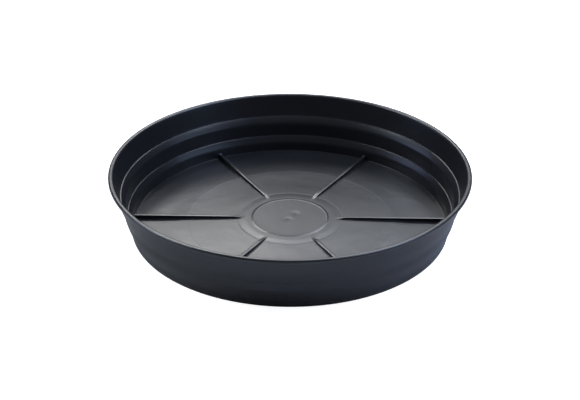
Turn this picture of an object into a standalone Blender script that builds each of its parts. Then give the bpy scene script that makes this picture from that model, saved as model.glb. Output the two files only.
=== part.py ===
"""Deep plant pot saucer, moulded in one piece of black plastic.

Run with:  blender --background --python part.py

Metres, +Z up.  The saucer's axis is Z, and its foot stands on Z = 0.
"""
import math

import bmesh
import bpy
from mathutils import Vector

MM = 0.001

# Overall size.
RIM_RADIUS = 175.0 * MM
HEIGHT = 60.0 * MM
FOOT_RADIUS = 155.0 * MM

# Wall: three tiers, each set in from the one above it. Inside, a lower tier is steep up to its leaning shoulder.
WALL = 1.8 * MM
TIER_DRAFT = 0.2
TIER_SET_IN = 1.85 * MM
LEDGE_HEIGHTS = (17.8 * MM, 38.2 * MM)
OUTER_STEP_DROP = 3.5 * MM
OUTER_STEP_HEIGHT = 9.0 * MM
TOP_TIER_FLARE = 1.4 * MM
LOWER_DRAFT = 0.05
SHOULDER_DROP = 5.0 * MM
LIP_RADIUS = 0.5 * MM
HOLLOW_RADIUS = 0.5 * MM

# Rolled rim on top of the wall.
RIM_DEPTH = 4.1 * MM
RIM_ROUNDING = 1.9 * MM
RIM_INNER_ROUNDING = 2.0 * MM

# Floor: it falls from a raised centre disc to a level edge under the wall, with a crease at each ring.
DISC_RADIUS = 37.2 * MM
DISC_HEIGHT = 5.2 * MM
DISC_FOOT_RADIUS = 38.6 * MM
DISC_FOOT_HEIGHT = 4.7 * MM
INNER_RING_RADIUS = 50.8 * MM
INNER_RING_HEIGHT = 4.2 * MM
OUTER_RING_RADIUS = 99.5 * MM
OUTER_RING_HEIGHT = 3.3 * MM
FLOOR_EDGE_HEIGHT = 2.1 * MM
FLOOR_EDGE_WIDTH = 8.0 * MM
FLOOR_CORNER_RADIUS = 0.5 * MM

# Underside: the floor's thickness below it, inside a flat foot ring.
FLOOR_THICKNESS = 2.0 * MM
FOOT_RING_WIDTH = 8.0 * MM
FOOT_STEP = 0.5 * MM
HEEL_RADIUS = 1.6 * MM

# Six drainage ribs that hold the pot clear of the floor.
RIB_COUNT = 6
RIB_START_ANGLE = math.radians(-1.0)
RIB_TOP_WIDTH = 3.1 * MM
RIB_ROOT_WIDTH = 3.7 * MM
RIB_TOP_HEIGHT = 6.6 * MM
RIB_INNER_RADIUS = 43.5 * MM
RIB_RAMP = 12.5 * MM
RIB_SINK = 0.9 * MM

# Facets of the turned solid.
TURN_STEPS = 64
MERGE_DISTANCE = 0.05 * MM
ARC_STEP = math.radians(36.0)

PLASTIC_COLOUR = (0.009, 0.010, 0.012, 1.0)
PLASTIC_ROUGHNESS = 0.38


def clear_scene():
    for item in list(bpy.data.objects):
        bpy.data.objects.remove(item, do_unlink=True)


def black_plastic():
    material = bpy.data.materials.new("black_plastic")
    material.use_nodes = True
    shader = material.node_tree.nodes["Principled BSDF"]
    shader.inputs["Base Color"].default_value = PLASTIC_COLOUR
    shader.inputs["Roughness"].default_value = PLASTIC_ROUGHNESS
    shader.inputs["Metallic"].default_value = 0.0
    return material


def outer_radius(height, tiers_below):
    """Radius of the outer wall at a height, above a number of steps."""
    return FOOT_RADIUS + TIER_DRAFT * height + TIER_SET_IN * tiers_below


def inner_radius(height, tiers_below):
    return outer_radius(height, tiers_below) - WALL


def floor_corners():
    """Corners of the floor's top from its centre to the wall, each (radius, height)."""
    wall_foot = inner_radius(FLOOR_EDGE_HEIGHT, 0)
    return [
        (0.0, DISC_HEIGHT),
        (DISC_RADIUS, DISC_HEIGHT),
        (DISC_FOOT_RADIUS, DISC_FOOT_HEIGHT),
        (INNER_RING_RADIUS, INNER_RING_HEIGHT),
        (OUTER_RING_RADIUS, OUTER_RING_HEIGHT),
        (wall_foot - FLOOR_EDGE_WIDTH, FLOOR_EDGE_HEIGHT),
        (wall_foot, FLOOR_EDGE_HEIGHT),
    ]


def floor_height(radius):
    """Height of the floor's top at a radius."""
    corners = floor_corners()
    for inside, outside in zip(corners, corners[1:]):
        if radius <= outside[0]:
            share = (radius - inside[0]) / (outside[0] - inside[0])
            return inside[1] + share * (outside[1] - inside[1])
    return FLOOR_EDGE_HEIGHT


def inside_corners():
    """Corners from the centre of the floor to the rim, each (radius, height, rounding)."""
    corners = [(radius, height, 0.0) for radius, height in floor_corners()[:-1]]
    corners.append((*floor_corners()[-1], FLOOR_CORNER_RADIUS))
    tier_bottom = FLOOR_EDGE_HEIGHT
    for tier, height in enumerate(LEDGE_HEIGHTS):
        shoulder = height - SHOULDER_DROP
        shoulder_radius = inner_radius(tier_bottom, tier) + LOWER_DRAFT * (shoulder - tier_bottom)
        corners.append((shoulder_radius, shoulder, 0.0))
        corners.append((inner_radius(height, tier), height, LIP_RADIUS))
        corners.append((inner_radius(height, tier + 1), height, HOLLOW_RADIUS))
        tier_bottom = height
    top_radius = inner_radius(HEIGHT, len(LEDGE_HEIGHTS)) + TOP_TIER_FLARE
    corners.append((top_radius, HEIGHT, RIM_INNER_ROUNDING))
    return corners


def outside_corners():
    """Corners from the rim down the outer wall and in under the floor."""
    rim_bottom = HEIGHT - RIM_DEPTH
    under_rim = outer_radius(rim_bottom, len(LEDGE_HEIGHTS)) + TOP_TIER_FLARE
    corners = [
        (RIM_RADIUS, HEIGHT, RIM_ROUNDING),
        (RIM_RADIUS, rim_bottom, RIM_ROUNDING),
        (under_rim, rim_bottom, 0.0),
    ]
    for tier in reversed(range(len(LEDGE_HEIGHTS))):
        middle = LEDGE_HEIGHTS[tier] - OUTER_STEP_DROP
        above = middle + OUTER_STEP_HEIGHT / 2
        below = middle - OUTER_STEP_HEIGHT / 2
        corners.append((outer_radius(above, tier + 1), above, 0.0))
        corners.append((outer_radius(below, tier), below, 0.0))
    foot_inside = FOOT_RADIUS - FOOT_RING_WIDTH
    corners += [
        (FOOT_RADIUS, 0.0, HEEL_RADIUS),
        (foot_inside, 0.0, 0.0),
        (foot_inside - FOOT_STEP, FOOT_STEP, 0.0),
    ]
    for radius, height in reversed(floor_corners()[:-2]):
        corners.append((radius, height - FLOOR_THICKNESS, 0.0))
    return corners


def rounded_corner(before, corner, after, radius):
    """Points of the arc of a given radius that touches both sides of a corner."""
    to_before = (before - corner).normalized()
    to_after = (after - corner).normalized()
    half_angle = to_before.angle(to_after) / 2
    bisector = (to_before + to_after).normalized()
    centre = corner + bisector * (radius / math.sin(half_angle))
    reach = radius / math.tan(half_angle)
    start = corner + to_before * reach - centre
    turn = math.pi - 2 * half_angle
    if to_before.cross(to_after) > 0:
        turn = -turn
    steps = max(2, math.ceil(abs(turn) / ARC_STEP))
    points = []
    for step in range(steps + 1):
        angle = turn * step / steps
        cosine, sine = math.cos(angle), math.sin(angle)
        arm = Vector((start.x * cosine - start.y * sine, start.x * sine + start.y * cosine))
        points.append(centre + arm)
    return points


def outline():
    """The half section of the saucer, from the floor's centre round to the underside's."""
    corners = inside_corners() + outside_corners()
    places = [Vector(corner[:2]) for corner in corners]
    points = []
    for index, corner in enumerate(corners):
        if corner[2] > 0.0:
            points += rounded_corner(places[index - 1], places[index], places[index + 1], corner[2])
        else:
            points.append(places[index])
    return points


def make_dish(material):
    """The dish is its half section turned round Z."""
    mesh = bpy.data.meshes.new("saucer")
    points = [(point.x, 0.0, point.y) for point in outline()]
    edges = [(index, index + 1) for index in range(len(points) - 1)]
    mesh.from_pydata(points, edges, [])
    mesh.materials.append(material)
    dish = bpy.data.objects.new("saucer", mesh)
    bpy.context.collection.objects.link(dish)
    screw = dish.modifiers.new("turn", "SCREW")
    screw.axis = "Z"
    screw.angle = 2 * math.pi
    screw.steps = TURN_STEPS
    screw.render_steps = TURN_STEPS
    screw.use_merge_vertices = True
    screw.merge_threshold = MERGE_DISTANCE
    screw.use_smooth_shade = True
    return dish


def rib_section(shape, radius, top):
    """Four corners across a rib at a radius, its top at a given height."""
    root = floor_height(radius) - RIB_SINK
    corners = [(-RIB_ROOT_WIDTH, root), (RIB_ROOT_WIDTH, root), (RIB_TOP_WIDTH, top), (-RIB_TOP_WIDTH, top)]
    return [shape.verts.new((radius, width / 2, height)) for width, height in corners]


def rib_mesh():
    """One rib along +X: a tapered strip with a ramp at its inner end, sunk into the floor."""
    outer_end = inner_radius(FLOOR_EDGE_HEIGHT, 0) + WALL / 2
    shape = bmesh.new()
    sections = [
        rib_section(shape, RIB_INNER_RADIUS, floor_height(RIB_INNER_RADIUS)),
        rib_section(shape, RIB_INNER_RADIUS + RIB_RAMP, RIB_TOP_HEIGHT),
        rib_section(shape, OUTER_RING_RADIUS, RIB_TOP_HEIGHT),
        rib_section(shape, outer_end, RIB_TOP_HEIGHT),
    ]
    shape.faces.new(sections[0])
    shape.faces.new(sections[-1])
    for inside, outside in zip(sections, sections[1:]):
        for index in range(len(inside)):
            following = (index + 1) % len(inside)
            shape.faces.new((inside[index], outside[index], outside[following], inside[following]))
    bmesh.ops.recalc_face_normals(shape, faces=shape.faces)
    mesh = bpy.data.meshes.new("rib_form")
    shape.to_mesh(mesh)
    shape.free()
    return mesh


def add_ribs(dish):
    """The ribs are part of the same moulding, so each one is united with the dish."""
    mesh = rib_mesh()
    for number in range(RIB_COUNT):
        form = bpy.data.objects.new(f"rib_form_{number + 1}", mesh)
        form.rotation_euler.z = RIB_START_ANGLE + 2 * math.pi * number / RIB_COUNT
        form.hide_render = True
        form.display_type = "WIRE"
        bpy.context.collection.objects.link(form)
        union = dish.modifiers.new(f"rib_{number + 1}", "BOOLEAN")
        union.operation = "UNION"
        union.object = form


def main():
    clear_scene()
    dish = make_dish(black_plastic())
    add_ribs(dish)


main()
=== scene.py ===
"""Looks of the deep plant pot saucer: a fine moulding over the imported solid, and a plain studio."""
import math

import bpy
from mathutils import Matrix, Vector


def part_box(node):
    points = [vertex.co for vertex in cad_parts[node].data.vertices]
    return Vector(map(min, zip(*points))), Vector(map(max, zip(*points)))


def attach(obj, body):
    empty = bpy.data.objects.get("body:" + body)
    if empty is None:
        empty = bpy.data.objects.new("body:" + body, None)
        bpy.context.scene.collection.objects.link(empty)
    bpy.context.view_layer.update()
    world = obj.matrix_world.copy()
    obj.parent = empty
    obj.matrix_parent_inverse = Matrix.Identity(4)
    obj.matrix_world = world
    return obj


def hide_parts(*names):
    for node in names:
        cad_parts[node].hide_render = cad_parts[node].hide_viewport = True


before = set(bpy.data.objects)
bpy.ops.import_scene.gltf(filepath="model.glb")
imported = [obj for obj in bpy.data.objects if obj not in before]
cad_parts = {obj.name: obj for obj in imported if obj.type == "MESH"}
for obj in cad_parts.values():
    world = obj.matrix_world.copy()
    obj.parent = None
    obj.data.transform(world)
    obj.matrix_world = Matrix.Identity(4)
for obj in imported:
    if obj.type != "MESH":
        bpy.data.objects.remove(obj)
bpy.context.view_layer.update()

SAUCER_LOW, SAUCER_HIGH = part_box("saucer")

MM = 0.001

# Overall size, from the frame.
RIM_RADIUS = SAUCER_HIGH.x
HEIGHT = SAUCER_HIGH.z

# Wall: three tiers, each set in from the one above it. Outside, a lower tier ends in a soft step. Inside,
# it is steep up to a shoulder that leans out to a narrow ledge.
FOOT_RADIUS = 155.0 * MM
WALL = 1.8 * MM
TIER_DRAFT = 0.2
TIER_SET_IN = 1.85 * MM
LEDGE_HEIGHTS = (17.8 * MM, 38.2 * MM)
OUTER_STEP_DROP = 3.5 * MM
OUTER_STEP_HEIGHT = 12.0 * MM
OUTER_STEP_ROUNDING = 22.0 * MM
TOP_TIER_FLARE = 1.4 * MM
SHOULDER_DROP = 6.2 * MM
SHOULDER_ROUNDING = 8.0 * MM
LOWER_DRAFT = 0.05
LIP_RADIUS = 0.3 * MM
LEDGE_TILT = 0.08 * MM
LEDGE_WIDTH = 1.15 * MM
HOLLOW_RADIUS = 0.3 * MM

# Rolled rim.
RIM_DEPTH = 3.7 * MM
RIM_ROUNDING = 1.75 * MM
RIM_INNER_ROUNDING = 2.4 * MM
RIM_UNDERCUT_ROUNDING = 0.2 * MM

# Floor: it falls from a raised disc to the wall. A low bead runs round the disc. Each ring is a fine groove.
DISC_RADIUS = 35.5 * MM
DISC_HEIGHT = 5.08 * MM
DISC_BEAD_RADIUS = 36.4 * MM
DISC_BEAD_HEIGHT = 5.2 * MM
DISC_FOOT_RADIUS = 38.5 * MM
DISC_FOOT_HEIGHT = 4.66 * MM
DISC_ROUNDING = 0.25 * MM
BAND_MIDDLE_RADIUS = 43.5 * MM
BAND_MIDDLE_HEIGHT = 4.6 * MM
BAND_ROUNDING = 40.0 * MM
INNER_RING_RADIUS = 50.8 * MM
INNER_RING_HEIGHT = 4.2 * MM
PLATEAU_MIDDLE_RADIUS = 75.0 * MM
PLATEAU_MIDDLE_HEIGHT = 3.55 * MM
PLATEAU_ROUNDING = 800.0 * MM
OUTER_RING_RADIUS = 99.5 * MM
OUTER_RING_HEIGHT = 3.15 * MM
RING_INNER_WIDTH = 0.8 * MM
RING_OUTER_WIDTH = 1.4 * MM
RING_DEPTH = 0.045 * MM
RING_ROUNDING = 1.0 * MM
ANNULUS_MIDDLE_RADIUS = 116.0 * MM
ANNULUS_MIDDLE_HEIGHT = 2.4 * MM
ANNULUS_ROUNDING = 400.0 * MM
FLOOR_EDGE_WIDTH = 8.0 * MM
FLOOR_EDGE_HEIGHT = 2.1 * MM
FLOOR_CORNER_RADIUS = 0.15 * MM
FLOOR_THICKNESS = 2.0 * MM
FOOT_RING_WIDTH = 8.0 * MM
FOOT_STEP = 0.5 * MM
HEEL_RADIUS = 1.6 * MM

# Drainage ribs.
RIB_COUNT = 6
RIB_START_ANGLE = math.radians(-1.0)
RIB_TOP_WIDTH = 3.5 * MM
RIB_ROOT_WIDTH = 3.7 * MM
RIB_TOP_HEIGHT = 6.2 * MM
RIB_MEAN_RISE = 3.0 * MM
RIB_CROWN = 0.14 * MM
RIB_INNER_RADIUS = 43.5 * MM
RIB_RAMP = 12.5 * MM
RIB_EDGE_RADIUS = 0.25 * MM
RIB_ROOT_RADIUS = 0.55 * MM

# Gate mark: two shallow, duller dents in the disc, each (x, y) of its middle.
DENT_PLACES = ((-2.4 * MM, -4.0 * MM), (4.8 * MM, 7.6 * MM))
DENT_RADIUS = 3.7 * MM
DENT_DEPTH = 0.3 * MM
DENT_REACH = 18.0 * MM
DULL_RADIUS = 4.5 * MM
DULL_ROUGHNESS = 0.3

# Fineness of the moulding.
ARC_STEP = math.radians(11.0)
LONGEST_RUN = 3.6 * MM
LONGEST_RUN_AT_DENTS = 1.1 * MM
SHORTEST_RUN = 0.001 * MM
COLUMNS_BETWEEN_RIBS = 28
RIB_ARC_STEP = math.radians(15.0)

# Plastic.
PLASTIC_COLOUR = (0.010, 0.0108, 0.0125)
DUSTY_COLOUR = (0.0125, 0.013, 0.014)
PLASTIC_IOR = 1.5
INSIDE_ROUGHNESS = 0.305
OUTSIDE_ROUGHNESS = 0.45

# Fine surface: frequencies of noise per metre, its detail, and what it does to height and roughness.
NOISE_MIDDLE = 0.5
GRAIN_FREQUENCY = 700.0
GRAIN_DETAIL = 2.0
GRAIN_HEIGHT = 0.025 * MM
MOTTLE_FREQUENCY = 55.0
MOTTLE_DETAIL = 3.0
MOTTLE_HEIGHT = 0.24 * MM
MOTTLE_ROUGHNESS = 0.03
FLOW_FREQUENCY = 260.0
FLOW_DETAIL = 3.0
FLOW_HEIGHT = 0.025 * MM
FLOW_ROUGHNESS = 0.015
SCRATCH_STRETCH = (9.0, 520.0, 9.0)
SCRATCH_TURN = math.radians(52.0)
SCRATCH_DETAIL = 1.0
SCRATCH_STARTS = 0.74
SCRATCH_FULL = 0.80
SCRATCH_ROUGHNESS = 0.06

# Stage and light. A softbox is (name, azimuth, elevation, width, height, brightness, colour), in degrees.
FLOOR_SIZE = 12.0
FLOOR_GAP = 0.2 * MM
FLOOR_ALBEDO = 0.78
FLOOR_GLOW = 0.9
ROOM_COLOUR = (0.9, 0.95, 1.0)
ROOM_STRENGTH = 0.05
LIGHT_DISTANCE = 2.0
SOFTBOXES = (
    ("back_light", 102, 41, 15, 14, 13.2, (1.0, 1.0, 1.0)),
    ("back_low_light", 88, 21, 24, 13, 1.1, (0.95, 0.97, 1.0)),
    ("back_right_light", 75, 45, 19, 15, 11.0, (0.86, 0.91, 1.0)),
    ("left_high_light", 168, 47, 25, 16, 15.0, (0.8, 0.88, 1.0)),
    ("left_low_light", 172, 16, 30, 14, 2.5, (0.5, 0.6, 1.0)),
    ("right_high_light", 0, 56, 28, 28, 10.8, (0.64, 0.73, 1.0)),
    ("right_low_light", -20, 20, 40, 14, 2.0, (0.45, 0.63, 1.0)),
    ("top_light", 270, 62, 28, 16, 0.5, (1.0, 0.92, 0.84)),
)

# Camera.
CAMERA_DISTANCE = 1.3335
CAMERA_ELEVATION = math.radians(27.49)
CAMERA_PITCH = math.radians(28.63)
CAMERA_ROLL = math.radians(0.16)
CAMERA_LENS = 85.5
AIM_DROP = 5.6 * MM


def outer_radius(height, tiers_below):
    """Radius of the outer wall at a height, above a number of steps."""
    return FOOT_RADIUS + TIER_DRAFT * height + TIER_SET_IN * tiers_below


def inner_radius(height, tiers_below):
    return outer_radius(height, tiers_below) - WALL


def ring_groove(radius, height):
    """Corners of a fine groove with a steep inner side and a gentle outer side."""
    return [
        (radius - RING_INNER_WIDTH, height, RING_ROUNDING),
        (radius, height - RING_DEPTH, RING_ROUNDING),
        (radius + RING_OUTER_WIDTH, height, RING_ROUNDING),
    ]


def floor_corners():
    """Corners of the floor's top from its centre to the wall, each (radius, height, rounding)."""
    wall_foot = inner_radius(FLOOR_EDGE_HEIGHT, 0)
    return [
        (0.0, DISC_HEIGHT, 0.0),
        (DENT_REACH, DISC_HEIGHT, 0.0),
        (DISC_RADIUS, DISC_HEIGHT, DISC_ROUNDING),
        (DISC_BEAD_RADIUS, DISC_BEAD_HEIGHT, DISC_ROUNDING),
        (DISC_FOOT_RADIUS, DISC_FOOT_HEIGHT, DISC_ROUNDING),
        (BAND_MIDDLE_RADIUS, BAND_MIDDLE_HEIGHT, BAND_ROUNDING),
        *ring_groove(INNER_RING_RADIUS, INNER_RING_HEIGHT),
        (PLATEAU_MIDDLE_RADIUS, PLATEAU_MIDDLE_HEIGHT, PLATEAU_ROUNDING),
        *ring_groove(OUTER_RING_RADIUS, OUTER_RING_HEIGHT),
        (ANNULUS_MIDDLE_RADIUS, ANNULUS_MIDDLE_HEIGHT, ANNULUS_ROUNDING),
        (wall_foot - FLOOR_EDGE_WIDTH, FLOOR_EDGE_HEIGHT, ANNULUS_ROUNDING),
        (wall_foot, FLOOR_EDGE_HEIGHT, FLOOR_CORNER_RADIUS),
    ]


def floor_height(radius):
    """Height of the floor's top at a radius."""
    corners = floor_corners()
    for inside, outside in zip(corners, corners[1:]):
        if radius <= outside[0]:
            share = (radius - inside[0]) / (outside[0] - inside[0])
            return inside[1] + share * (outside[1] - inside[1])
    return FLOOR_EDGE_HEIGHT


def inside_corners():
    """Corners from the centre of the floor to the rim."""
    corners = floor_corners()
    tier_bottom = FLOOR_EDGE_HEIGHT
    for tier, height in enumerate(LEDGE_HEIGHTS):
        break_height = height - SHOULDER_DROP
        break_radius = inner_radius(tier_bottom, tier) + LOWER_DRAFT * (break_height - tier_bottom)
        corners.append((break_radius, break_height, SHOULDER_ROUNDING))
        ledge_radius = inner_radius(height, tier + 1)
        corners.append((ledge_radius - LEDGE_WIDTH, height - LEDGE_TILT, LIP_RADIUS))
        corners.append((ledge_radius, height, HOLLOW_RADIUS))
        tier_bottom = height
    top_radius = inner_radius(HEIGHT, len(LEDGE_HEIGHTS)) + TOP_TIER_FLARE
    corners.append((top_radius, HEIGHT, RIM_INNER_ROUNDING))
    return corners


def outside_corners():
    """Corners from the rim down the outer wall and in under the floor."""
    rim_bottom = HEIGHT - RIM_DEPTH
    under_rim = outer_radius(rim_bottom, len(LEDGE_HEIGHTS)) + TOP_TIER_FLARE
    corners = [
        (RIM_RADIUS, HEIGHT, RIM_ROUNDING),
        (RIM_RADIUS, rim_bottom, RIM_ROUNDING),
        (under_rim, rim_bottom, RIM_UNDERCUT_ROUNDING),
    ]
    for tier in reversed(range(len(LEDGE_HEIGHTS))):
        middle = LEDGE_HEIGHTS[tier] - OUTER_STEP_DROP
        above = middle + OUTER_STEP_HEIGHT / 2
        below = middle - OUTER_STEP_HEIGHT / 2
        corners.append((outer_radius(above, tier + 1), above, OUTER_STEP_ROUNDING))
        corners.append((outer_radius(below, tier), below, OUTER_STEP_ROUNDING))
    foot_inside = FOOT_RADIUS - FOOT_RING_WIDTH
    corners += [
        (FOOT_RADIUS, 0.0, HEEL_RADIUS),
        (foot_inside, 0.0, 0.0),
        (foot_inside - FOOT_STEP, FOOT_STEP, 0.0),
    ]
    for radius in (OUTER_RING_RADIUS, INNER_RING_RADIUS, DISC_FOOT_RADIUS):
        corners.append((radius, floor_height(radius) - FLOOR_THICKNESS, RING_ROUNDING))
    corners += [
        (DISC_RADIUS, DISC_HEIGHT - FLOOR_THICKNESS, 0.0),
        (0.0, DISC_HEIGHT - FLOOR_THICKNESS, 0.0),
    ]
    return corners


def rounded_corner(before, corner, after, radius, arc_step=ARC_STEP):
    """Points of the arc of a given radius that touches both sides of a corner."""
    to_before = (before - corner).normalized()
    to_after = (after - corner).normalized()
    half_angle = to_before.angle(to_after) / 2
    bisector = (to_before + to_after).normalized()
    centre = corner + bisector * (radius / math.sin(half_angle))
    reach = radius / math.tan(half_angle)
    start = corner + to_before * reach - centre
    turn = math.pi - 2 * half_angle
    if to_before.cross(to_after) > 0:
        turn = -turn
    steps = max(2, math.ceil(abs(turn) / arc_step))
    points = []
    for step in range(steps + 1):
        angle = turn * step / steps
        cosine, sine = math.cos(angle), math.sin(angle)
        arm = Vector((start.x * cosine - start.y * sine, start.x * sine + start.y * cosine))
        points.append(centre + arm)
    return points


def outline():
    """The half section, with long straight runs divided."""
    corners = inside_corners() + outside_corners()
    places = [Vector(corner[:2]) for corner in corners]
    rounded = []
    for index, corner in enumerate(corners):
        if corner[2] > 0.0:
            rounded += rounded_corner(places[index - 1], places[index], places[index + 1], corner[2])
        else:
            rounded.append(places[index])
    points = [rounded[0]]
    for point in rounded[1:]:
        run = (point - points[-1]).length
        if run < SHORTEST_RUN:
            continue
        start = points[-1]
        on_dents = start.x < DENT_REACH and start.y > DISC_HEIGHT - FLOOR_THICKNESS / 2
        longest = LONGEST_RUN_AT_DENTS if on_dents else LONGEST_RUN
        parts = max(1, math.ceil(run / longest))
        points += [start.lerp(point, part / parts) for part in range(1, parts + 1)]
    return points


def rib_half_section():
    """Half of a rib's cross section from its middle out: (offset, share of the rib's rise)."""
    lean = math.atan2((RIB_ROOT_WIDTH - RIB_TOP_WIDTH) / 2, RIB_MEAN_RISE)
    top = Vector((RIB_TOP_WIDTH / 2, RIB_MEAN_RISE - RIB_CROWN))
    root = Vector((RIB_ROOT_WIDTH / 2, 0.0))
    middle = Vector((0.0, RIB_MEAN_RISE))
    beyond = Vector((RIB_ROOT_WIDTH, 0.0))
    section = [middle, middle.lerp(top, 0.5) + Vector((0.0, RIB_CROWN / 4))]
    section += rounded_corner(middle, top, root, RIB_EDGE_RADIUS, RIB_ARC_STEP)
    section += rounded_corner(top, root, beyond, RIB_ROOT_RADIUS, RIB_ARC_STEP)
    section.append(beyond)
    return [(point.x, point.y / RIB_MEAN_RISE) for point in section]


def smooth_step(share):
    share = min(max(share, 0.0), 1.0)
    return share * share * (3 - 2 * share)


def rib_rise(radius):
    """Height of a rib's top above the floor at a radius."""
    if radius < RIB_INNER_RADIUS:
        return 0.0
    share = (radius - RIB_INNER_RADIUS) / RIB_RAMP
    return (RIB_TOP_HEIGHT - floor_height(radius)) * smooth_step(share)


def columns():
    """Columns of the moulding round its axis: (rib angle, offset, share of rib height, extra angle)."""
    half = rib_half_section()
    pitch = 2 * math.pi / RIB_COUNT
    found = []
    for number in range(RIB_COUNT):
        angle = RIB_START_ANGLE + pitch * number
        for offset, share in reversed(half):
            found.append((angle, -offset, share, 0.0))
        for offset, share in half[1:]:
            found.append((angle, offset, share, 0.0))
        edge = half[-1][0]
        for step in range(1, COLUMNS_BETWEEN_RIBS):
            across = step / COLUMNS_BETWEEN_RIBS
            found.append((angle, edge * (1 - 2 * across), 0.0, pitch * across))
    return found


def dent_depth(x, y):
    """Depth of the gate mark at a point of the disc."""
    depth = 0.0
    for dent_x, dent_y in DENT_PLACES:
        distance = math.hypot(x - dent_x, y - dent_y) / DENT_RADIUS
        depth += DENT_DEPTH * math.exp(-distance * distance)
    return depth


def ring_of_vertices(point, ring_columns, on_floor):
    """One point of the outline turned round Z; on the floor it is lifted by ribs and pressed in by dents."""
    ring = []
    for rib_angle, offset, share, extra in ring_columns:
        angle = rib_angle + extra + math.asin(offset / max(point.x, RIB_INNER_RADIUS))
        x = point.x * math.cos(angle)
        y = point.x * math.sin(angle)
        height = point.y
        if on_floor and share > 0.0:
            height = max(height, floor_height(point.x) + rib_rise(point.x) * share)
        if on_floor and point.x < DENT_REACH:
            height -= dent_depth(x, y)
        ring.append((x, y, height))
    return ring


def skin(rings, count):
    """Faces of a closed skin: a first middle vertex, rings of count vertices, and a last middle vertex."""
    faces = [(0, 1 + column, 1 + (column + 1) % count) for column in range(count)]
    for ring in range(rings - 1):
        here = 1 + ring * count
        there = here + count
        for column in range(count):
            following = (column + 1) % count
            faces.append((here + column, there + column, there + following, here + following))
    start = 1 + (rings - 1) * count
    last = start + count
    faces += [(last, start + (column + 1) % count, start + column) for column in range(count)]
    return faces


def moulding_mesh():
    """The saucer's surface: the outline turned round Z in columns that follow the ribs."""
    points = outline()
    ring_columns = columns()
    count = len(ring_columns)
    wall_starts = next(index for index, point in enumerate(points) if point.y >= LEDGE_HEIGHTS[0])
    vertices = [(0.0, 0.0, points[0].y - dent_depth(0.0, 0.0))]
    for index, point in enumerate(points[1:-1], 1):
        vertices += ring_of_vertices(point, ring_columns, index < wall_starts)
    vertices.append((0.0, 0.0, points[-1].y))
    faces = skin(len(points) - 2, count)
    mesh = bpy.data.meshes.new("saucer_moulding")
    mesh.from_pydata(vertices, [], faces)
    mesh.update()
    mesh.shade_smooth()
    rim_ring = max(range(len(points)), key=lambda index: points[index].x)
    slots = [int(face >= count * rim_ring) for face in range(len(faces))]
    mesh.polygons.foreach_set("material_index", slots)
    return mesh


def noise(tree, place, frequency, detail):
    """Noise from 0 to 1 over a place in space, or over one number."""
    node = tree.nodes.new("ShaderNodeTexNoise")
    one_number = place.type == "VALUE"
    node.noise_dimensions = "1D" if one_number else "3D"
    node.inputs["Scale"].default_value = frequency
    node.inputs["Detail"].default_value = detail
    tree.links.new(place, node.inputs["W" if one_number else "Vector"])
    return node.outputs["Fac"]


def scaled_sum(tree, terms, start):
    """A start value plus each term, which is (socket, the socket's own zero, factor)."""
    first = tree.nodes.new("ShaderNodeValue")
    first.outputs[0].default_value = start - sum(zero * factor for socket, zero, factor in terms)
    total = first.outputs[0]
    for socket, zero, factor in terms:
        node = tree.nodes.new("ShaderNodeMath")
        node.operation = "MULTIPLY_ADD"
        tree.links.new(socket, node.inputs[0])
        node.inputs[1].default_value = factor
        tree.links.new(total, node.inputs[2])
        total = node.outputs[0]
    return total


def distance_from_axis(tree, place):
    """Socket of a place's distance from the saucer's axis."""
    flat = tree.nodes.new("ShaderNodeVectorMath")
    flat.operation = "MULTIPLY"
    flat.inputs[1].default_value = (1.0, 1.0, 0.0)
    tree.links.new(place, flat.inputs[0])
    length = tree.nodes.new("ShaderNodeVectorMath")
    length.operation = "LENGTH"
    tree.links.new(flat.outputs["Vector"], length.inputs[0])
    return length.outputs["Value"]


def height_above_foot(tree, place):
    """Socket of a place's height."""
    split = tree.nodes.new("ShaderNodeSeparateXYZ")
    tree.links.new(place, split.inputs[0])
    return split.outputs["Z"]


def scratches(tree, place):
    """A few faint hairlines: noise stretched into threads, of which only the peaks show."""
    mapping = tree.nodes.new("ShaderNodeMapping")
    mapping.inputs["Rotation"].default_value = (0.0, 0.0, SCRATCH_TURN)
    mapping.inputs["Scale"].default_value = SCRATCH_STRETCH
    tree.links.new(place, mapping.inputs["Vector"])
    threads = noise(tree, mapping.outputs["Vector"], 1.0, SCRATCH_DETAIL)
    peaks = tree.nodes.new("ShaderNodeMapRange")
    peaks.inputs["From Min"].default_value = SCRATCH_STARTS
    peaks.inputs["From Max"].default_value = SCRATCH_FULL
    tree.links.new(threads, peaks.inputs["Value"])
    return peaks.outputs["Result"]


def dull_spot(tree, place, middle):
    """A soft spot on the disc: 1 at its middle, 0 from its edge out."""
    distance = tree.nodes.new("ShaderNodeVectorMath")
    distance.operation = "DISTANCE"
    distance.inputs[1].default_value = (*middle, DISC_HEIGHT)
    tree.links.new(place, distance.inputs[0])
    spot = tree.nodes.new("ShaderNodeMapRange")
    spot.interpolation_type = "SMOOTHSTEP"
    spot.inputs["From Min"].default_value = DULL_RADIUS
    spot.inputs["From Max"].default_value = 0.0
    tree.links.new(distance.outputs["Value"], spot.inputs["Value"])
    return spot.outputs["Result"]


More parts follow.
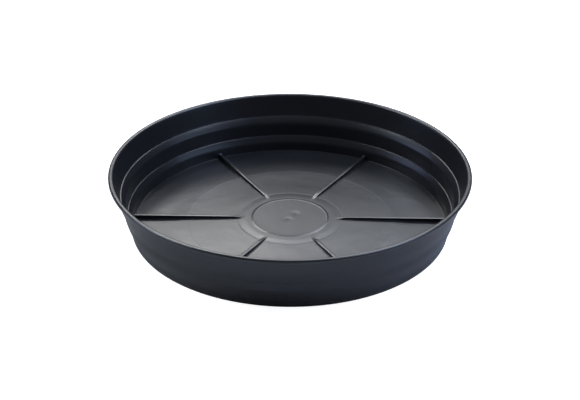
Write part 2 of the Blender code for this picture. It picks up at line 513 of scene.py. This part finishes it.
def plastic_material(name, roughness, flow_place, dull_places=()):
    """Moulded black plastic; flow_place gives the number that its flow marks follow."""
    material = bpy.data.materials.new(name)
    material.use_nodes = True
    tree = material.node_tree
    shader = tree.nodes["Principled BSDF"]
    shader.inputs["IOR"].default_value = PLASTIC_IOR
    place = tree.nodes.new("ShaderNodeTexCoord").outputs["Object"]
    grain = noise(tree, place, GRAIN_FREQUENCY, GRAIN_DETAIL)
    mottle = noise(tree, place, MOTTLE_FREQUENCY, MOTTLE_DETAIL)
    flow = noise(tree, flow_place(tree, place), FLOW_FREQUENCY, FLOW_DETAIL)

    colour = tree.nodes.new("ShaderNodeMix")
    colour.data_type = "RGBA"
    colour.inputs["A"].default_value = (*PLASTIC_COLOUR, 1.0)
    colour.inputs["B"].default_value = (*DUSTY_COLOUR, 1.0)
    tree.links.new(mottle, colour.inputs["Factor"])
    tree.links.new(colour.outputs["Result"], shader.inputs["Base Color"])

    rough_terms = [
        (mottle, NOISE_MIDDLE, MOTTLE_ROUGHNESS),
        (flow, NOISE_MIDDLE, FLOW_ROUGHNESS),
        (scratches(tree, place), 0.0, SCRATCH_ROUGHNESS),
    ]
    for middle in dull_places:
        rough_terms.append((dull_spot(tree, place, middle), 0.0, DULL_ROUGHNESS))
    tree.links.new(scaled_sum(tree, rough_terms, roughness), shader.inputs["Roughness"])

    height_terms = [
        (grain, NOISE_MIDDLE, GRAIN_HEIGHT),
        (mottle, NOISE_MIDDLE, MOTTLE_HEIGHT),
        (flow, NOISE_MIDDLE, FLOW_HEIGHT),
    ]
    bump = tree.nodes.new("ShaderNodeBump")
    bump.inputs["Distance"].default_value = 1.0
    tree.links.new(scaled_sum(tree, height_terms, 0.0), bump.inputs["Height"])
    tree.links.new(bump.outputs["Normal"], shader.inputs["Normal"])
    return material


def make_saucer():
    """The moulding, with one finish inside and a duller one outside."""
    mesh = moulding_mesh()
    piece = bpy.data.objects.new("saucer_moulding", mesh)
    bpy.context.scene.collection.objects.link(piece)
    inside = plastic_material("black_plastic_inside", INSIDE_ROUGHNESS, distance_from_axis, DENT_PLACES)
    outside = plastic_material("black_plastic_outside", OUTSIDE_ROUGHNESS, height_above_foot)
    mesh.materials.append(inside)
    mesh.materials.append(outside)
    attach(piece, "root")
    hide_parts("saucer")


def make_camera():
    data = bpy.data.cameras.new("camera")
    data.lens = CAMERA_LENS
    camera = bpy.data.objects.new("camera", data)
    bpy.context.scene.collection.objects.link(camera)
    back = CAMERA_DISTANCE * math.cos(CAMERA_ELEVATION)
    up = CAMERA_DISTANCE * math.sin(CAMERA_ELEVATION)
    place = Vector((0.0, -back, HEIGHT - AIM_DROP + up))
    turn = Matrix.Rotation(math.pi / 2 - CAMERA_PITCH, 4, "X") @ Matrix.Rotation(CAMERA_ROLL, 4, "Z")
    camera.matrix_world = Matrix.Translation(place) @ turn
    bpy.context.scene.camera = camera


def floor_material():
    """Matt white that also glows a little for the camera, so that it shows as white."""
    material = bpy.data.materials.new("white_floor")
    material.use_nodes = True
    nodes, links = material.node_tree.nodes, material.node_tree.links
    nodes.remove(nodes["Principled BSDF"])
    matt = nodes.new("ShaderNodeBsdfDiffuse")
    matt.inputs["Color"].default_value = (FLOOR_ALBEDO, FLOOR_ALBEDO, FLOOR_ALBEDO, 1.0)
    glow = nodes.new("ShaderNodeEmission")
    glow.inputs["Strength"].default_value = FLOOR_GLOW
    path = nodes.new("ShaderNodeLightPath")
    seen_glow = nodes.new("ShaderNodeMixShader")
    both = nodes.new("ShaderNodeAddShader")
    links.new(path.outputs["Is Camera Ray"], seen_glow.inputs[0])
    links.new(glow.outputs[0], seen_glow.inputs[2])
    links.new(matt.outputs[0], both.inputs[0])
    links.new(seen_glow.outputs[0], both.inputs[1])
    links.new(both.outputs[0], nodes["Material Output"].inputs["Surface"])
    return material


def make_floor():
    mesh = bpy.data.meshes.new("floor")
    half = FLOOR_SIZE / 2
    corners = [(-half, -half, 0), (half, -half, 0), (half, half, 0), (-half, half, 0)]
    mesh.from_pydata(corners, [], [(0, 1, 2, 3)])
    mesh.materials.append(floor_material())
    floor = bpy.data.objects.new("floor", mesh)
    bpy.context.scene.collection.objects.link(floor)
    floor.location.z = SAUCER_LOW.z - FLOOR_GAP


def make_world():
    """Even dim light from all round, seen by the camera as the white of the room."""
    world = bpy.data.worlds.new("studio")
    bpy.context.scene.world = world
    world.use_nodes = True
    nodes, links = world.node_tree.nodes, world.node_tree.links
    room = nodes["Background"]
    room.inputs["Color"].default_value = (*ROOM_COLOUR, 1.0)
    room.inputs["Strength"].default_value = ROOM_STRENGTH
    white = nodes.new("ShaderNodeBackground")
    path = nodes.new("ShaderNodeLightPath")
    mix = nodes.new("ShaderNodeMixShader")
    links.new(path.outputs["Is Camera Ray"], mix.inputs[0])
    links.new(room.outputs[0], mix.inputs[1])
    links.new(white.outputs[0], mix.inputs[2])
    links.new(mix.outputs[0], nodes["World Output"].inputs["Surface"])


def direction(azimuth, elevation):
    """The way from the saucer towards an azimuth and an elevation, in degrees."""
    turn = math.radians(azimuth)
    rise = math.radians(elevation)
    level = math.cos(rise)
    return Vector((level * math.cos(turn), level * math.sin(turn), math.sin(rise)))


def make_light(name, azimuth, elevation, width, height, brightness, colour):
    """A softbox that faces the saucer; brightness is the radiance of its face."""
    data = bpy.data.lights.new(name, "AREA")
    data.shape = "RECTANGLE"
    data.size = 2 * LIGHT_DISTANCE * math.tan(math.radians(width / 2))
    data.size_y = 2 * LIGHT_DISTANCE * math.tan(math.radians(height / 2))
    data.energy = brightness * math.pi * data.size * data.size_y
    data.color = colour
    light = bpy.data.objects.new(name, data)
    bpy.context.scene.collection.objects.link(light)
    towards = direction(azimuth, elevation)
    light.location = towards * LIGHT_DISTANCE
    light.rotation_euler = towards.to_track_quat("Z", "Y").to_euler()
    light.visible_camera = False


def main():
    bpy.context.scene.view_settings.view_transform = "Standard"
    make_camera()
    make_floor()
    make_world()
    for softbox in SOFTBOXES:
        make_light(*softbox)
    make_saucer()


main()
